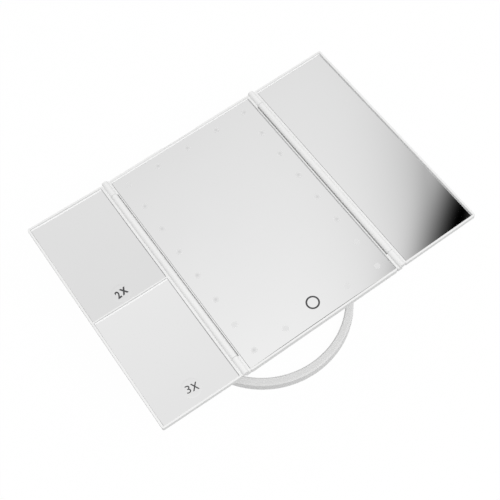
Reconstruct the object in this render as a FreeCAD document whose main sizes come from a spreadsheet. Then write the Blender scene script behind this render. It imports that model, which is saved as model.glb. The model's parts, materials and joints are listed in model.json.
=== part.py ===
import FreeCAD, Part
import math
import os
import Sketcher

# Trifold vanity mirror: a lit centre mirror with two folding wings, tilting on an arm
# that rises from a weighted ring base. Millimetres, +Z up, the user sits on the -Y side.
# The origin lies on the surface that the mirror stands on, below the middle of the mirror.
# The mirror is modelled tipped back to face straight up, with its wings opened out.

SIZES = {
    # Where the mirror stands
    "mirror_height": 190.6,         # front face of the mirror above the table, facing up
    "ring_advance": 6.6,            # middle of the ring ahead of the middle of the mirror
    "left_fold": 2.5,               # degrees that each wing stands short of flat
    "right_fold": 0.6,
    # Centre mirror
    "centre_half_width": 87.4,
    "centre_half_length": 128.2,
    "centre_corner": 3.0,
    "centre_depth": 5.6,
    "side_lip": 1.0,
    "end_lip": 2.0,
    "recess": 1.5,                  # how far the glass lies below the lips
    "glass_thickness": 2.0,
    "glass_clearance": 0.25,
    "light_floor": 1.3,             # wall behind the centre glass
    "pocket_rim": 2.4,              # rim round the light boards
    "rib_width": 1.4,               # locating rib of the cover, inside that rim
    "rib_height": 0.7,
    "notch_width": 42.0,            # finger bevel in the top edge
    "notch_size": 1.4,
    # Lights and touch key
    "light_margin_x": 14.4,         # lights in from the sides of the frame
    "light_margin_y": 15.2,         # lights in from its ends
    "lights_per_side": 8,
    "lights_per_end": 5,
    "slot_width": 5.0,              # light slots in the wall behind the glass
    "slot_bridge": 4.5,             # wall left between two slots at a corner
    "chip_length": 3.5,
    "chip_width": 2.8,
    "chip_height": 0.8,
    "board_width": 6.0,
    "board_thickness": 0.8,
    "key_margin": 21.6,             # touch key in from the lower end of the frame
    "sensor_width": 6.2,
    # Wing hinges
    "hinge_out": 4.6,               # hinge axis out from the side of the frame
    "hinge_lift": 0.4,              # hinge axis above the lips
    "barrel_radius": 3.4,
    "knuckle_length": 19.0,
    "seam": 0.3,
    "pin_diameter": 2.0,
    "pin_length": 30.0,
    "pin_inset": 0.6,
    "running_fit": 0.05,
    # Wings
    "wing_inner": 3.7,              # hinge axis to the near edge of a wing
    "fold_gap": 0.2,                # folded wing's edge to the middle of the mirror
    "wing_end_gap": 0.5,            # a wing is shorter than the frame at each end
    "wing_depth": 5.4,
    "wing_corner": 2.0,
    "wing_inner_lip": 2.3,
    "wing_outer_lip": 2.2,
    "wing_end_lip": 1.9,
    "wing_floor": 1.0,
    "plain_tape": 0.3,
    "divider_drop": 0.15,           # divider below the middle of the wing
    "divider_width": 1.3,
    "lens_thickness": 1.2,
    "viewing_distance": 430.0,      # where the lenses magnify as marked
    "lens_pad_width": 40.0,
    "lens_2x_pad_height": 0.65,
    "lens_3x_pad_height": 0.1,
    "lens_pad_gap": 0.1,
    # Rear cover
    "flange_thickness": 1.0,
    "cover_margin": 11.4,           # flange round the hump
    "cover_depth": 12.0,
    "cover_corner": 16.0,
    "cover_edge": 3.0,
    "cover_wall": 1.8,
    # Batteries
    "cell_diameter": 10.5,
    "cell_length": 44.5,
    "cell_pitch": 11.0,
    "cell_count": 4,
    "bay_from_top": 62.2,           # middle of the bay in from the top end of the frame
    "bay_length": 52.0,
    "bay_margin": 1.0,
    "bay_wall": 2.4,
    "door_gap": 0.3,
    "door_thickness": 1.5,
    "door_ledge": 1.0,
    "grip_width": 16.0,             # finger recess in the door
    "grip_length": 6.0,
    "grip_depth": 0.8,
    "grip_margin": 4.0,
    "cell_button": 1.0,
    "cell_button_diameter": 3.8,
    "contact_width": 8.0,
    "contact_thickness": 0.4,
    "contact_root": 0.8,            # shares of a contact's half width where its leaf starts,
    "contact_inside": 0.6,          # where its hollow starts
    "contact_tip": 0.15,            # and where it ends
    # Control board
    "control_width": 46.0,
    "control_length": 30.0,
    "control_thickness": 1.2,
    "control_margin": 30.2,         # middle of the board in from the lower end of the frame
    "control_level": 2.0,           # top of the board behind the frame
    "post_width": 5.0,
    "socket_width": 7.5,
    "socket_depth": 5.6,
    "socket_height": 2.7,
    "socket_wall": 0.35,
    "socket_inset": 0.6,
    # Tilt bracket
    "bracket_width": 44.0,
    "bracket_length": 34.0,
    "bracket_thickness": 2.0,
    "cheek_thickness": 3.0,
    "cheek_radius": 8.0,
    "axis_drop": 13.0,              # tilt axis behind the rear cover
    "bracket_screw_x": 18.2,
    "bracket_screw_diameter": 2.6,
    "bracket_screw_head": 5.0,
    "bracket_screw_length": 8.0,
    "bracket_boss_height": 8.0,
    "washer_thickness": 1.0,
    "washer_diameter": 14.0,
    "axle_diameter": 6.0,
    "axle_head_diameter": 11.0,
    "axle_head_height": 2.0,
    "nut_width": 10.0,
    "nut_height": 4.0,
    "face_gap": 0.05,
    "axle_end": 0.4,                # axle beyond its nut
    # Arm
    "arm_width": 30.0,
    "arm_top_width": 22.0,
    "arm_thickness": 9.4,
    "arm_rise": 24.0,
    "arm_bend": 48.0,
    "arm_knuckle": 7.5,
    "arm_edge": 2.0,
    # Ring base
    "ring_radius": 99.5,            # middle of the band
    "ring_width": 9.4,
    "ring_height": 14.4,
    "ring_edge": 1.6,
    "channel_width": 5.8,
    "channel_depth": 10.5,
    "weight_height": 8.0,
    "weight_clearance": 0.2,
    "sole_thickness": 1.4,
    "foot_height": 1.0,
    "foot_diameter": 5.0,
    "foot_count": 4,
    "plinth_width": 38.0,
    "plinth_depth": 15.0,
    "plinth_rise": 2.0,
    "arm_screw_offset": 9.0,
    "arm_screw_diameter": 3.0,
    "arm_screw_head": 5.6,
    "arm_screw_sink": 4.0,
    "arm_screw_grip": 18.0,         # depth of the screw holes in the arm
    "channel_end": 1.5,             # channel fillings end this far from the plinth
}

doc = FreeCAD.newDocument("trifold_mirror")
dims = doc.addObject("Spreadsheet::Sheet", "dims")
for row, (alias, value) in enumerate(SIZES.items(), start=1):
    dims.set(f"A{row}", alias)
    dims.set(f"B{row}", str(value))
    dims.setAlias(f"B{row}", alias)
doc.recompute()

pieces = []
AXES = {"x": FreeCAD.Vector(1, 0, 0), "y": FreeCAD.Vector(0, 1, 0), "z": FreeCAD.Vector(0, 0, 1)}


def number(text):
    """The value of an expression over the sheet."""
    worth = dims.evalExpression(text)
    return float(getattr(worth, "Value", worth))


def vector(x, y, z=0.0):
    return FreeCAD.Vector(x, y, z)


def place(piece, at, turn_axis=None, turn="0"):
    """Bind a piece's position, and a turn about one axis, to the sheet."""
    if turn_axis:
        piece.Placement.Rotation.Axis = AXES[turn_axis]
        piece.setExpression("Placement.Rotation.Angle", turn)
        piece.Placement = FreeCAD.Placement(vector(0, 0), FreeCAD.Rotation(AXES[turn_axis], number(turn)))
    for letter, text in zip("xyz", at):
        piece.setExpression(f"Placement.Base.{letter}", text)


def keep(piece, label):
    piece.Label = label
    pieces.append(piece)
    return piece


class Moulding:
    """A body built from sketches, one named feature after another."""

    def __init__(self, label, at=("0", "0", "0"), turn_axis=None, turn="0"):
        self.body = keep(doc.addObject("PartDesign::Body", label), label)
        place(self.body, at, turn_axis, turn)
        self.volume = 0.0

    def sketch(self, name, plane="XY", offset="0"):
        sketch = self.body.newObject("Sketcher::SketchObject", f"{self.body.Name}_{name}")
        support = [item for item in self.body.Origin.OriginFeatures if item.Role == f"{plane}_Plane"]
        sketch.AttachmentSupport = [(support[0], "")]
        sketch.MapMode = "FlatFace"
        sketch.setExpression("AttachmentOffset.Base.z", offset)
        return sketch

    def finish(self, feature, grows):
        """Recompute, and stop if a feature left the volume as it was."""
        doc.recompute()
        volume = self.body.Shape.Volume
        if grows and volume <= self.volume or not grows and volume >= self.volume:
            raise ValueError(f"{feature.Name} changed nothing: {self.volume:.3f} to {volume:.3f}")
        self.volume = volume
        return feature

    def sweep(self, kind, sketch, length, grows, **options):
        feature = self.body.newObject(f"PartDesign::{kind}", f"{sketch.Name}_{kind.lower()}")
        feature.Profile = sketch
        if length:
            feature.setExpression("Length", length)
        else:
            feature.Type = "ThroughAll"
        feature.Reversed = options.get("reverse", False)
        if options.get("middle", False):
            feature.SideType = "Symmetric"
        if "taper" in options:
            feature.TaperAngle = options["taper"]
        return self.finish(feature, grows)

    def pad(self, sketch, length, **options):
        return self.sweep("Pad", sketch, length, True, **options)

    def pocket(self, sketch, length=None, **options):
        return self.sweep("Pocket", sketch, length, False, **options)

    def revolve(self, sketch, angle=360.0, middle=False, bound=None):
        feature = self.body.newObject("PartDesign::Revolution", f"{sketch.Name}_turn")
        feature.Profile = sketch
        feature.ReferenceAxis = (sketch, ["V_Axis"])
        feature.Angle = angle
        if bound:
            feature.setExpression("Angle", bound)
        feature.Midplane = middle
        return self.finish(feature, True)

    def chamfer(self, size, test):
        """Bevel the edges whose middle passes the test."""
        base = self.body.Tip
        names = edge_names(base.Shape, test)
        feature = self.body.newObject("PartDesign::Chamfer", f"{self.body.Name}_bevel")
        feature.Base = (base, names)
        feature.setExpression("Size", size)
        doc.recompute()
        self.volume = self.body.Shape.Volume
        return feature


def edge_names(shape, test):
    names = []
    for index, edge in enumerate(shape.Edges, start=1):
        middle = edge.valueAt((edge.FirstParameter + edge.LastParameter) / 2)
        if test(middle):
            names.append(f"Edge{index}")
    if not names:
        raise ValueError("no edge passed the test")
    return names


def bind(sketch, kind, geometry, point, text):
    """Hold one coordinate of a sketch point at an expression."""
    index = sketch.addConstraint(Sketcher.Constraint(kind, -1, 1, geometry, point, number(text)))
    sketch.renameConstraint(index, f"{kind}{index}")
    sketch.setExpression(f"Constraints.{kind}{index}", text)


def draw_rectangle(sketch, left, low, right, high):
    """A rectangle held at its lower left and upper right corners."""
    first = sketch.GeometryCount
    corners = [(left, low), (right, low), (right, high), (left, high)]
    spots = [vector(number(x), number(y)) for x, y in corners]
    for index in range(4):
        sketch.addGeometry(Part.LineSegment(spots[index], spots[(index + 1) % 4]), False)
    for index in range(4):
        sketch.addConstraint(
            Sketcher.Constraint("Coincident", first + index, 2, first + (index + 1) % 4, 1))
        level = "Horizontal" if index % 2 == 0 else "Vertical"
        sketch.addConstraint(Sketcher.Constraint(level, first + index))
    bind(sketch, "DistanceX", first, 1, left)
    bind(sketch, "DistanceY", first, 1, low)
    bind(sketch, "DistanceX", first + 2, 1, right)
    bind(sketch, "DistanceY", first + 2, 1, high)


def draw_rounded(sketch, left, low, right, high, radius):
    """A rectangle with round corners: four sides joined by tangent arcs."""
    first = sketch.GeometryCount
    x0, y0, x1, y1, r = (number(text) for text in (left, low, right, high, radius))
    sides = [((x0 + r, y0), (x1 - r, y0)), ((x1, y0 + r), (x1, y1 - r)),
             ((x1 - r, y1), (x0 + r, y1)), ((x0, y1 - r), (x0, y0 + r))]
    centres = [(x1 - r, y0 + r), (x1 - r, y1 - r), (x0 + r, y1 - r), (x0 + r, y0 + r)]
    for index in range(4):
        start, end = sides[index]
        sketch.addGeometry(Part.LineSegment(vector(*start), vector(*end)), False)
        turn = (index - 1) * math.pi / 2
        corner = Part.Circle(vector(*centres[index]), vector(0, 0, 1), r)
        sketch.addGeometry(Part.ArcOfCircle(corner, turn, turn + math.pi / 2), False)
    for index in range(4):
        side = first + 2 * index
        after = first + (2 * index + 2) % 8
        sketch.addConstraint(Sketcher.Constraint("Tangent", side, 2, side + 1, 1))
        sketch.addConstraint(Sketcher.Constraint("Tangent", side + 1, 2, after, 1))
        sketch.addConstraint(Sketcher.Constraint("Vertical" if index % 2 else "Horizontal", side))
        if index:
            sketch.addConstraint(Sketcher.Constraint("Equal", first + 1, side + 1))
    bind(sketch, "DistanceY", first, 1, low)
    bind(sketch, "DistanceX", first + 2, 1, right)
    bind(sketch, "DistanceY", first + 4, 1, high)
    bind(sketch, "DistanceX", first + 6, 1, left)
    held = sketch.addConstraint(Sketcher.Constraint("Radius", first + 1, r))
    sketch.renameConstraint(held, f"Radius{held}")
    sketch.setExpression(f"Constraints.Radius{held}", radius)


def draw_polygon(sketch, corners):
    """A closed outline of straight edges, each corner held at its own coordinates."""
    first = sketch.GeometryCount
    count = len(corners)
    spots = [vector(number(x), number(y)) for x, y in corners]
    for index in range(count):
        sketch.addGeometry(Part.LineSegment(spots[index], spots[(index + 1) % count]), False)
    for index, (x, y) in enumerate(corners):
        sketch.addConstraint(
            Sketcher.Constraint("Coincident", first + index, 2, first + (index + 1) % count, 1))
        bind(sketch, "DistanceX", first + index, 1, x)
        bind(sketch, "DistanceY", first + index, 1, y)


def draw_bevelled(sketch, left, low, right, high, bevel):
    """A rectangle with its corners cut off at 45 degrees."""
    draw_polygon(sketch, [
        (f"{left} + {bevel}", low), (f"{right} - {bevel}", low), (right, f"{low} + {bevel}"),
        (right, f"{high} - {bevel}"), (f"{right} - {bevel}", high), (f"{left} + {bevel}", high),
        (left, f"{high} - {bevel}"), (left, f"{low} + {bevel}")])


def draw_circle(sketch, x, y, diameter):
    index = sketch.addGeometry(
        Part.Circle(vector(number(x), number(y)), vector(0, 0, 1), number(diameter) / 2), False)
    bind(sketch, "DistanceX", index, 3, x)
    bind(sketch, "DistanceY", index, 3, y)
    held = sketch.addConstraint(Sketcher.Constraint("Diameter", index, number(diameter)))
    sketch.renameConstraint(held, f"Diameter{held}")
    sketch.setExpression(f"Constraints.Diameter{held}", diameter)


def both(text):
    """An expression and its mirror image."""
    return (f"-({text})", text)


# Levels of the centre mirror, measured back from its lips
GLASS_BACK = "(dims.recess + dims.glass_thickness)"
BOARD_FACE = f"({GLASS_BACK} + dims.light_floor)"
FLANGE_BACK = "(dims.centre_depth + dims.flange_thickness)"
COVER_BACK = f"({FLANGE_BACK} + dims.cover_depth)"
COVER_INSIDE = f"({COVER_BACK} - dims.cover_wall)"
AXIS_LEVEL = f"({COVER_BACK} + dims.axis_drop)"
BRACKET_FACE = f"({COVER_BACK} + dims.bracket_thickness)"

HINGE_X = "(dims.centre_half_width + dims.hinge_out)"
BARREL_END = "(dims.centre_half_length - dims.knuckle_length - dims.seam)"
SILL_TOP = "(dims.hinge_lift - dims.barrel_radius - dims.seam)"
LIGHT_X = "(dims.centre_half_width - dims.light_margin_x)"
LIGHT_Y = "(dims.centre_half_length - dims.light_margin_y)"
KEY_Y = "(dims.key_margin - dims.centre_half_length)"
BAY_Y = "(dims.centre_half_length - dims.bay_from_top)"
CONTROL_Y = "(dims.control_margin - dims.centre_half_length)"
COVER_X = "(dims.centre_half_width - dims.cover_margin)"
COVER_Y = "(dims.centre_half_length - dims.cover_margin)"
OPENING_X = "(dims.centre_half_width - dims.side_lip)"
OPENING_Y = "(dims.centre_half_length - dims.end_lip)"
PANEL = ("0", "0", "dims.mirror_height")
STAND = ("0", "-dims.ring_advance", "0")
AXIS_HEIGHT = f"(dims.mirror_height - {AXIS_LEVEL})"
RING_TOP = "(dims.foot_height + dims.ring_height)"
ARM_FOOT = f"({RING_TOP} + dims.plinth_rise)"


def light_spots():
    """Centres of the lights: a column at each side, a row at each end but for the touch key."""
    per_side = round(number("dims.lights_per_side"))
    per_end = round(number("dims.lights_per_end"))
    spots = []
    for row in range(per_side):
        level = f"({LIGHT_Y} * {1 - 2 * row / (per_side - 1)})"
        spots += [(x, level) for x in both(LIGHT_X)]
    for column in range(1, per_end - 1):
        share = 2 * column / (per_end - 1) - 1
        across = f"({LIGHT_X} * {share})"
        spots.append((across, LIGHT_Y))
        if share:
            spots.append((across, f"-{LIGHT_Y}"))
    return spots


def make_centre_frame():
    frame = Moulding("centre_frame", PANEL)
    outline = frame.sketch("outline")
    draw_rounded(outline, "-dims.centre_half_width", "-dims.centre_half_length",
                 "dims.centre_half_width", "dims.centre_half_length", "dims.centre_corner")
    frame.pad(outline, "dims.centre_depth", reverse=True)

    sills = frame.sketch("hinge_sills", "XZ")
    for side in (-1, 1):
        draw_rectangle(sills, f"{side} * ({OPENING_X} + dims.side_lip / 2)", "-dims.centre_depth",
                       f"{side} * {HINGE_X}", "0")
    frame.pad(sills, "2 * dims.centre_half_length", middle=True)
    knuckles = frame.sketch("knuckles", "XZ")
    for x in both(HINGE_X):
        draw_circle(knuckles, x, "dims.hinge_lift", "2 * dims.barrel_radius")
    frame.pad(knuckles, "2 * dims.centre_half_length", middle=True)
    barrels = frame.sketch("barrel_space", "XZ")
    for side in (-1, 1):
        draw_rectangle(barrels, f"{side} * dims.centre_half_width", SILL_TOP,
                       f"{side} * ({HINGE_X} + 2 * dims.barrel_radius)",
                       "dims.hinge_lift + 2 * dims.barrel_radius")
    frame.pocket(barrels, f"2 * ({BARREL_END} + dims.seam)", middle=True)
    bores = frame.sketch("pin_bores", "XZ")
    for x in both(HINGE_X):
        draw_circle(bores, x, "dims.hinge_lift", "dims.pin_diameter + 2 * dims.running_fit")
    frame.pocket(bores, "2 * dims.centre_half_length", middle=True)

    seat = frame.sketch("glass_seat")
    draw_rectangle(seat, f"-{OPENING_X}", f"-{OPENING_Y}", OPENING_X, OPENING_Y)
    frame.pocket(seat, GLASS_BACK)
    rear = frame.sketch("rear_pocket", offset=f"-{BOARD_FACE}")
    inner_x = "(dims.centre_half_width - dims.pocket_rim)"
    inner_y = "(dims.centre_half_length - dims.pocket_rim)"
    draw_rectangle(rear, f"-{inner_x}", f"-{inner_y}", inner_x, inner_y)
    frame.pocket(rear, f"dims.centre_depth - {BOARD_FACE}")
    slots = frame.sketch("light_slots", offset=f"-{GLASS_BACK}")
    half = "dims.slot_width / 2"
    row_end = f"({LIGHT_X} - {half} - dims.slot_bridge)"
    for side in (-1, 1):
        draw_rectangle(slots, f"{side} * {LIGHT_X} - {half}", f"-({LIGHT_Y} + {half})",
                       f"{side} * {LIGHT_X} + {half}", f"{LIGHT_Y} + {half}")
        draw_rectangle(slots, f"-{row_end}", f"{side} * {LIGHT_Y} - {half}",
                       row_end, f"{side} * {LIGHT_Y} + {half}")
    reach = "(dims.sensor_width / 2 + dims.glass_clearance)"
    draw_rectangle(slots, f"-{reach}", f"{KEY_Y} - {reach}", reach, f"{KEY_Y} + {reach}")
    frame.pocket(slots, "dims.light_floor")
    notch = frame.sketch("finger_bevel", "YZ")
    edge = "dims.centre_half_length"
    draw_polygon(notch, [(f"{edge} - dims.notch_size", "0"), (edge, "-dims.notch_size"), (edge, "0")])
    frame.pocket(notch, "dims.notch_width", middle=True)


def make_centre_glass():
    glass = Moulding("centre_glass", PANEL)
    outline = glass.sketch("outline", offset="-dims.recess")
    half_x = f"({OPENING_X} - dims.glass_clearance)"
    half_y = f"({OPENING_Y} - dims.glass_clearance)"
    draw_rectangle(outline, f"-{half_x}", f"-{half_y}", half_x, half_y)
    glass.pad(outline, "dims.glass_thickness", reverse=True)


def make_light_boards():
    """Four strips behind the light slots, and the chips that they carry."""
    inner = f"({LIGHT_X} - dims.board_width / 2)"
    outer = f"({LIGHT_X} + dims.board_width / 2)"
    low = f"({LIGHT_Y} - dims.board_width / 2)"
    high = f"({LIGHT_Y} + dims.board_width / 2)"
    end = f"({inner} - dims.glass_clearance)"
    outlines = {
        "left_light_board": (f"-{outer}", f"-{high}", f"-{inner}", high),
        "right_light_board": (inner, f"-{high}", outer, high),
        "top_light_board": (f"-{end}", low, end, high),
        "bottom_light_board": (f"-{end}", f"-{high}", end, f"-{low}"),
    }
    for label, corners in outlines.items():
        board = Moulding(label, PANEL)
        outline = board.sketch("outline", offset=f"-{BOARD_FACE}")
        draw_rectangle(outline, *corners)
        board.pad(outline, "dims.board_thickness", reverse=True)

    chips = []
    for index, (x, y) in enumerate(light_spots()):
        chip = doc.addObject("Part::Box", f"chip_{index}")
        chip.setExpression("Length", "dims.chip_length")
        chip.setExpression("Width", "dims.chip_width")
        chip.setExpression("Height", "dims.chip_height")
        chip.setExpression("Placement.Base.x", f"{x} - dims.chip_length / 2")
        chip.setExpression("Placement.Base.y", f"{y} - dims.chip_width / 2")
        chip.setExpression("Placement.Base.z", f"dims.mirror_height - {BOARD_FACE}")
        chips.append(chip)
    gather("light_chips", chips)


def gather(label, solids):
    """One node that holds several like solids."""
    group = keep(doc.addObject("Part::Compound", label), label)
    group.Links = solids
    doc.recompute()
    return group


def make_sensor():
    sensor = Moulding("touch_sensor", PANEL)
    outline = sensor.sketch("outline", offset=f"-{GLASS_BACK}")
    half = "(dims.sensor_width / 2)"
    draw_rectangle(outline, f"-{half}", f"{KEY_Y} - {half}", half, f"{KEY_Y} + {half}")
    sensor.pad(outline, f"dims.centre_depth + dims.control_level - {GLASS_BACK}", reverse=True)


def panel_point(x, y, level):
    """A point given in the centre mirror's frame, its level measured back from the lips."""
    return (x, y, f"dims.mirror_height - {level}")


def stand_point(x, y, level):
    """A point given from the middle of the ring, its level measured up from the table."""
    return (x, f"{y} - dims.ring_advance", level)


def make_rod(name, start, along, diameter, length, hexagon=False):
    """A round or six-sided bar that runs from a point along X, Y or Z."""
    rod = doc.addObject("Part::Prism" if hexagon else "Part::Cylinder", name)
    if hexagon:
        rod.Polygon = 6
        rod.setExpression("Circumradius", f"{diameter} / 2 / cos(30 deg)")
    else:
        rod.setExpression("Radius", f"({diameter}) / 2")
    rod.setExpression("Height", length)
    turns = {"x": (AXES["y"], 90), "-x": (AXES["y"], -90), "y": (AXES["x"], -90), "-y": (AXES["x"], 90),
             "z": (AXES["z"], 0), "-z": (AXES["x"], 180)}
    rod.Placement = FreeCAD.Placement(vector(0, 0), FreeCAD.Rotation(*turns[along]))
    for letter, text in zip("xyz", start):
        rod.setExpression(f"Placement.Base.{letter}", text)
    return rod


def make_screw(name, seat, along, diameter, length, head_diameter, head_height):
    """A screw whose head bears on the seat and whose shank runs along the given way."""
    back = {"z": "-z", "-z": "z"}[along]
    shank = make_rod(f"{name}_shank", seat, along, diameter, length)
    head = make_rod(f"{name}_head", seat, back, head_diameter, head_height)
    screw = doc.addObject("Part::Fuse", name)
    screw.Base = shank
    screw.Tool = head
    return screw


BAY_HALF_X = "(dims.bay_length / 2)"
BAY_HALF_Y = "(dims.cell_count * dims.cell_pitch / 2 + dims.bay_margin)"
DOOR_HALF_X = f"({BAY_HALF_X} + dims.door_ledge)"
DOOR_HALF_Y = f"({BAY_HALF_Y} + dims.door_ledge)"
DOOR_FACE = f"({COVER_BACK} - dims.door_thickness)"
BOARD_TOP = "(dims.centre_depth + dims.control_level)"
BOARD_BACK = f"({BOARD_TOP} + dims.control_thickness)"
SOCKET_EDGE = f"({COVER_Y} - dims.socket_inset)"


def make_rear_cover():
    cover = Moulding("rear_cover", PANEL)
    flange = cover.sketch("flange", offset="-dims.centre_depth")
    draw_rounded(flange, "-dims.centre_half_width", "-dims.centre_half_length",
                 "dims.centre_half_width", "dims.centre_half_length", "dims.centre_corner")
    cover.pad(flange, "dims.flange_thickness", reverse=True)
    hump = cover.sketch("hump", offset=f"-{FLANGE_BACK}")
    draw_rounded(hump, f"-{COVER_X}", f"-{COVER_Y}", COVER_X, COVER_Y, "dims.cover_corner")
    cover.pad(hump, "dims.cover_depth", reverse=True)
    back = -number(COVER_BACK)
    cover.chamfer("dims.cover_edge", lambda middle: math.isclose(middle.z, back))
    inside = cover.sketch("inside", offset="-dims.centre_depth")
    half_x = f"({COVER_X} - dims.cover_wall)"
    half_y = f"({COVER_Y} - dims.cover_wall)"
    draw_rounded(inside, f"-{half_x}", f"-{half_y}", half_x, half_y, "dims.cover_corner - dims.cover_wall")
    cover.pocket(inside, f"{COVER_INSIDE} - dims.centre_depth")
    floor = -number(COVER_INSIDE)
    cover.chamfer("dims.cover_edge / 2", lambda middle: math.isclose(middle.z, floor))

    opening = cover.sketch("door_opening", offset=f"-{COVER_INSIDE}")
    draw_rectangle(opening, f"-{DOOR_HALF_X}", f"{BAY_Y} - {DOOR_HALF_Y}",
                   DOOR_HALF_X, f"{BAY_Y} + {DOOR_HALF_Y}")
    cover.pocket(opening, "dims.cover_wall")
    walls = cover.sketch("bay_walls", offset=f"-{DOOR_FACE}")
    outer_x = f"({BAY_HALF_X} + dims.bay_wall)"
    outer_y = f"({BAY_HALF_Y} + dims.bay_wall)"
    draw_rectangle(walls, f"-{outer_x}", f"{BAY_Y} - {outer_y}", outer_x, f"{BAY_Y} + {outer_y}")
    draw_rectangle(walls, f"-{BAY_HALF_X}", f"{BAY_Y} - {BAY_HALF_Y}",
                   BAY_HALF_X, f"{BAY_Y} + {BAY_HALF_Y}")
    cover.pad(walls, f"{DOOR_FACE} - {FLANGE_BACK}")
    posts = cover.sketch("posts", offset=f"-{COVER_INSIDE}")
    across = "(dims.control_width / 2)"
    along = "(dims.control_length / 2)"
    for side in (-1, 1):
        for end in (-1, 1):
            draw_rectangle(posts, f"{side} * {across} - {side + 1} / 2 * dims.post_width",
                           f"{CONTROL_Y} + {end} * {along} - {end + 1} / 2 * dims.post_width",
                           f"{side} * {across} - {side - 1} / 2 * dims.post_width",
                           f"{CONTROL_Y} + {end} * {along} - {end - 1} / 2 * dims.post_width")
    cover.pad(posts, f"{COVER_INSIDE} - {BOARD_BACK}")
    bosses = cover.sketch("bracket_bosses", offset=f"-{COVER_INSIDE}")
    boss = "(dims.bracket_screw_head / 2 + dims.cover_wall / 2)"
    for x in both("dims.bracket_screw_x"):
        draw_rectangle(bosses, f"{x} - {boss}", f"-{boss}", f"{x} + {boss}", boss)
    cover.pad(bosses, "dims.bracket_boss_height")
    port = cover.sketch("socket_port", "XZ")
    half_port = "(dims.socket_width / 2 + dims.door_gap)"
    draw_rectangle(port, f"-{half_port}", f"-({BOARD_BACK} + dims.socket_height + dims.door_gap)",
                   half_port, f"-({BOARD_BACK} - dims.door_gap)")
    cover.pocket(port, COVER_Y, reverse=True)
    pilots = cover.sketch("bracket_holes", offset=f"-{COVER_BACK}")
    for x in both("dims.bracket_screw_x"):
        draw_circle(pilots, x, "0", "dims.bracket_screw_diameter + 2 * dims.running_fit")
    cover.pocket(pilots, "dims.bracket_screw_length", reverse=True)
    rib = cover.sketch("locating_rib", offset="-dims.centre_depth")
    rib_x = "(dims.centre_half_width - dims.pocket_rim - dims.glass_clearance)"
    rib_y = "(dims.centre_half_length - dims.pocket_rim - dims.glass_clearance)"
    draw_rectangle(rib, f"-{rib_x}", f"-{rib_y}", rib_x, rib_y)
    draw_rectangle(rib, f"dims.rib_width - {rib_x}", f"dims.rib_width - {rib_y}",
                   f"{rib_x} - dims.rib_width", f"{rib_y} - dims.rib_width")
    cover.pad(rib, "dims.rib_height")


def make_battery_door():
    door = Moulding("battery_door", PANEL)
    outline = door.sketch("outline", offset=f"-({DOOR_FACE} + dims.face_gap)")
    half_x = f"({DOOR_HALF_X} - dims.door_gap)"
    half_y = f"({DOOR_HALF_Y} - dims.door_gap)"
    draw_rectangle(outline, f"-{half_x}", f"{BAY_Y} - {half_y}",
                   half_x, f"{BAY_Y} + {half_y}")
    door.pad(outline, "dims.door_thickness - dims.face_gap", reverse=True)
    grip = door.sketch("finger_grip", offset=f"-{COVER_BACK}")
    low = f"({BAY_Y} - {DOOR_HALF_Y} + dims.grip_margin)"
    draw_rectangle(grip, "-dims.grip_width / 2", low, "dims.grip_width / 2", f"{low} + dims.grip_length")
    door.pocket(grip, "dims.grip_depth", reverse=True)


def cell_rows():
    count = round(number("dims.cell_count"))
    return [f"{BAY_Y} + {index - (count - 1) / 2} * dims.cell_pitch" for index in range(count)]


def make_cells():
    """Four AAA cells side by side, each with its button at alternate ends."""
    cells = []
    level = f"({DOOR_FACE} - dims.door_gap - dims.cell_diameter / 2)"
    for index, y in enumerate(cell_rows()):
        way, sign = (("x", 1), ("-x", -1))[index % 2]
        can = make_rod(f"cell_can_{index}", panel_point(f"{-sign} * dims.cell_length / 2", y, level), way,
                       "dims.cell_diameter", "dims.cell_length - dims.cell_button")
        button = make_rod(f"cell_button_{index}",
                          panel_point(f"{sign} * (dims.cell_length / 2 - dims.cell_button)", y, level), way,
                          "dims.cell_button_diameter", "dims.cell_button")
        cell = doc.addObject("Part::Fuse", f"cell_{index}")
        cell.Base = can
        cell.Tool = button
        cells.append(cell)
    gather("cells", cells)


def make_contacts():
    """Sprung strips at the two ends of the battery bay, one behind each end of a cell."""
    for label, side in (("left_contacts", -1), ("right_contacts", 1)):
        contacts = Moulding(label, PANEL)
        wall = f"{side} * {BAY_HALF_X}"
        face = f"{side} * ({BAY_HALF_X} - dims.contact_thickness)"
        tip = f"{side} * (dims.cell_length / 2 + dims.face_gap)"
        inner_tip = f"{side} * (dims.cell_length / 2 + dims.face_gap + dims.contact_thickness)"
        leaf = contacts.sketch("leaf", offset=f"-({DOOR_FACE} - dims.door_gap)")
        half = "dims.contact_width / 2"
        for y in cell_rows():
            draw_polygon(leaf, [
                (wall, f"{y} - {half}"), (wall, f"{y} + {half}"),
                (face, f"{y} + {half}"), (face, f"{y} + dims.contact_root * {half}"),
                (tip, f"{y} + dims.contact_tip * {half}"), (tip, f"{y} - dims.contact_tip * {half}"),
                (face, f"{y} - dims.contact_root * {half}"), (face, f"{y} - {half}")])
            draw_polygon(leaf, [
                (face, f"{y} + dims.contact_inside * {half}"), (inner_tip, y),
                (face, f"{y} - dims.contact_inside * {half}")])
        contacts.pad(leaf, "dims.contact_width")


def make_control_board():
    board = Moulding("control_board", PANEL)
    outline = board.sketch("outline", offset=f"-{BOARD_TOP}")
    draw_rectangle(outline, "-dims.control_width / 2", f"{CONTROL_Y} - dims.control_length / 2",
                   "dims.control_width / 2", f"{CONTROL_Y} + dims.control_length / 2")
    board.pad(outline, "dims.control_thickness", reverse=True)


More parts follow.
